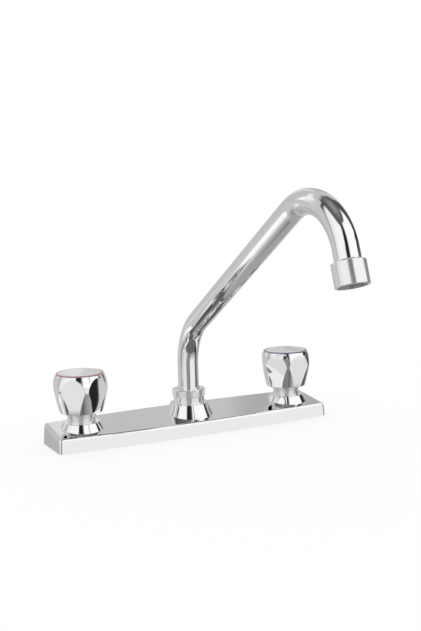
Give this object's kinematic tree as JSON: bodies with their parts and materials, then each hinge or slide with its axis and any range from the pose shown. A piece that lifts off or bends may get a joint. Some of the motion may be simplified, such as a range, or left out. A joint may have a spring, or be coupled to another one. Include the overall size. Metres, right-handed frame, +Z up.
{
  "type": "kitchen faucet",
  "caption": "Deck-mounted kitchen mixer faucet with a swivelling tubular spout, faceted hot and cold knobs on rising spindles and a long low cover plate.",
  "frame": {"origin": "on the spout's vertical axis, at the deck plane under the cover", "axes": "+Z up out of the deck, -Y to the front where the spout points at rest, +X from the hot to the cold side"},
  "size_m": [0.2598, 0.2901, 0.2107],
  "materials": {
    "chrome": "polished chrome plate",
    "knob_chrome": "bright chrome plate on moulded plastic",
    "brass": "machined brass",
    "steel": "stainless steel",
    "seal_rubber": "black nitrile rubber",
    "gasket_foam": "closed-cell foam",
    "nylon": "natural white plastic",
    "hot_red": "gloss red plastic",
    "cold_blue": "gloss blue plastic"
  },
  "bodies": {
    "base": {"deck_cover": "chrome", "deck_gasket": "gasket_foam", "spout_post": "brass", "spout_o_rings": "seal_rubber", "spout_flange": "chrome", "spout_nut": "chrome", "spout_thrust_washer": "nylon", "hot_valve_body": "brass", "hot_cross_tube": "brass", "hot_flange": "chrome", "hot_bonnet": "chrome", "hot_bonnet_gasket": "seal_rubber", "cold_valve_body": "brass", "cold_cross_tube": "brass", "cold_flange": "chrome", "cold_bonnet": "chrome", "cold_bonnet_gasket": "seal_rubber"},
    "spout": {"spout_tube": "chrome", "spout_retaining_ring": "brass", "outlet_thread_ring": "brass", "aerator_housing": "chrome", "aerator_washer": "seal_rubber", "aerator_insert": "nylon", "aerator_screen": "steel"},
    "hot_valve": {"hot_jumper": "brass", "hot_seat_washer": "seal_rubber"},
    "hot_handle": {"hot_spindle": "brass", "hot_stem_o_ring": "seal_rubber", "hot_knob": "knob_chrome", "hot_knob_screw": "steel", "hot_index_ring": "hot_red", "hot_index_cap": "knob_chrome"},
    "cold_valve": {"cold_jumper": "brass", "cold_seat_washer": "seal_rubber"},
    "cold_handle": {"cold_spindle": "brass", "cold_stem_o_ring": "seal_rubber", "cold_knob": "knob_chrome", "cold_knob_screw": "steel", "cold_index_ring": "cold_blue", "cold_index_cap": "knob_chrome"}
  },
  "joints": [
    {"name": "spout_swivel", "type": "hinge", "parent": "base", "child": "spout", "pos_m": [0, 0, 0.03], "axis": [0, 0, 1], "continuous": true},
    {"name": "hot_lift", "type": "slide", "parent": "base", "child": "hot_valve", "axis": [0, 0, 1], "range_m": [0, 0.003]},
    {"name": "hot_turn", "type": "hinge", "parent": "hot_valve", "child": "hot_handle", "pos_m": [-0.1016, 0, 0.03], "axis": [0, 0, 1], "range_deg": [0, 540]},
    {"name": "cold_lift", "type": "slide", "parent": "base", "child": "cold_valve", "axis": [0, 0, 1], "range_m": [0, 0.003]},
    {"name": "cold_turn", "type": "hinge", "parent": "cold_valve", "child": "cold_handle", "pos_m": [0.1016, 0, 0.03], "axis": [0, 0, 1], "range_deg": [0, 540]}
  ],
  "couplings": [
    {"joint": "hot_lift", "follows": "hot_turn", "m_per_rad": 0.0003183},
    {"joint": "cold_lift", "follows": "cold_turn", "m_per_rad": 0.0003183}
  ]
}
